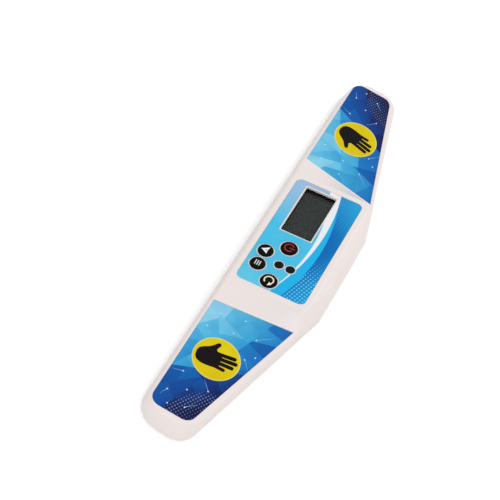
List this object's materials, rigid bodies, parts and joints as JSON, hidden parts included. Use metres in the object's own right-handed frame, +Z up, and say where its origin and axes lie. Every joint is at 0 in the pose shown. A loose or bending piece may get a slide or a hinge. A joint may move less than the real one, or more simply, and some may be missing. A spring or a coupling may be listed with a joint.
{
  "type": "speed cube timer",
  "caption": "Low two-handed puzzle timer: a touch pad on each wing and a raised console with a recessed display, round push keys and small lamps.",
  "frame": {"origin": "on the surface under the feet, below the middle of the casing", "axes": "+X to the user's right along the wings, +Y away from the user, +Z up"},
  "size_m": [0.286, 0.0594, 0.0278],
  "materials": {
    "casing": "gloss moulded",
    "base": "fine texture",
    "cell_wrap": "printed wrap",
    "spring_steel": "nickel plated",
    "red_lead": "soft insulation",
    "black_lead": "soft insulation",
    "touch_foil": "bare foil",
    "console_print": "printed film",
    "pad_print": "printed film",
    "clear_window": "clear",
    "dark_plastic": "moulded",
    "display_glass": "polarised",
    "elastomer": "striped",
    "board_green": "solder mask",
    "screw_steel": "plated",
    "key_black": "gloss moulded",
    "lamp_lens": "smoked",
    "ready_light": "tinted",
    "run_light": "tinted",
    "foot_rubber": "soft"
  },
  "bodies": {
    "case": {"top_shell": "casing", "bottom_shell": "base", "front_cell": "cell_wrap", "back_cell": "cell_wrap", "bridge_contact": "spring_steel", "positive_contact": "spring_steel", "negative_contact": "spring_steel", "positive_lead": "red_lead", "negative_lead": "black_lead", "left_touch_lead": "black_lead", "right_touch_lead": "black_lead", "left_touch_plate": "touch_foil", "right_touch_plate": "touch_foil", "console_overlay": "console_print", "left_pad_overlay": "pad_print", "right_pad_overlay": "pad_print", "display_window": "clear_window", "lcd_frame": "dark_plastic", "lcd_front_glass": "display_glass", "lcd_rear_glass": "display_glass", "contact_strip": "elastomer", "main_board": "board_green", "controller_dome": "dark_plastic", "crystal": "spring_steel", "case_screws": "screw_steel", "board_screws": "screw_steel", "power_switch": "dark_plastic", "down_switch": "dark_plastic", "mode_switch": "dark_plastic", "reset_switch": "dark_plastic", "ready_lens": "lamp_lens", "ready_led": "ready_light", "run_lens": "lamp_lens", "run_led": "run_light", "foot_1": "foot_rubber", "foot_2": "foot_rubber", "foot_3": "foot_rubber", "foot_4": "foot_rubber", "foot_5": "foot_rubber", "foot_6": "foot_rubber"},
    "power_press": {"power_key": "key_black", "power_plunger": "dark_plastic"},
    "down_press": {"down_key": "key_black", "down_plunger": "dark_plastic"},
    "mode_press": {"mode_key": "key_black", "mode_plunger": "dark_plastic"},
    "reset_press": {"reset_key": "key_black", "reset_plunger": "dark_plastic"},
    "cover": {"battery_cover": "base"}
  },
  "joints": [
    {"name": "power_key_press", "type": "slide", "parent": "case", "child": "power_press", "axis": [0, 0.2504, -0.9681], "range_m": [0, 0.0004], "stiffness_N_per_m": 1500, "springref_m": -0.0002},
    {"name": "down_key_press", "type": "slide", "parent": "case", "child": "down_press", "axis": [0, 0.2504, -0.9681], "range_m": [0, 0.0004], "stiffness_N_per_m": 1500, "springref_m": -0.0002},
    {"name": "mode_key_press", "type": "slide", "parent": "case", "child": "mode_press", "axis": [0, 0.2504, -0.9681], "range_m": [0, 0.0004], "stiffness_N_per_m": 1500, "springref_m": -0.0002},
    {"name": "reset_key_press", "type": "slide", "parent": "case", "child": "reset_press", "axis": [0, 0.2504, -0.9681], "range_m": [0, 0.0004], "stiffness_N_per_m": 1500, "springref_m": -0.0002},
    {"name": "battery_cover_tilt", "type": "hinge", "parent": "case", "child": "cover", "pos_m": [0, 0.0022, 0.001], "axis": [-1, 0, 0], "range_deg": [0, 35]}
  ]
}
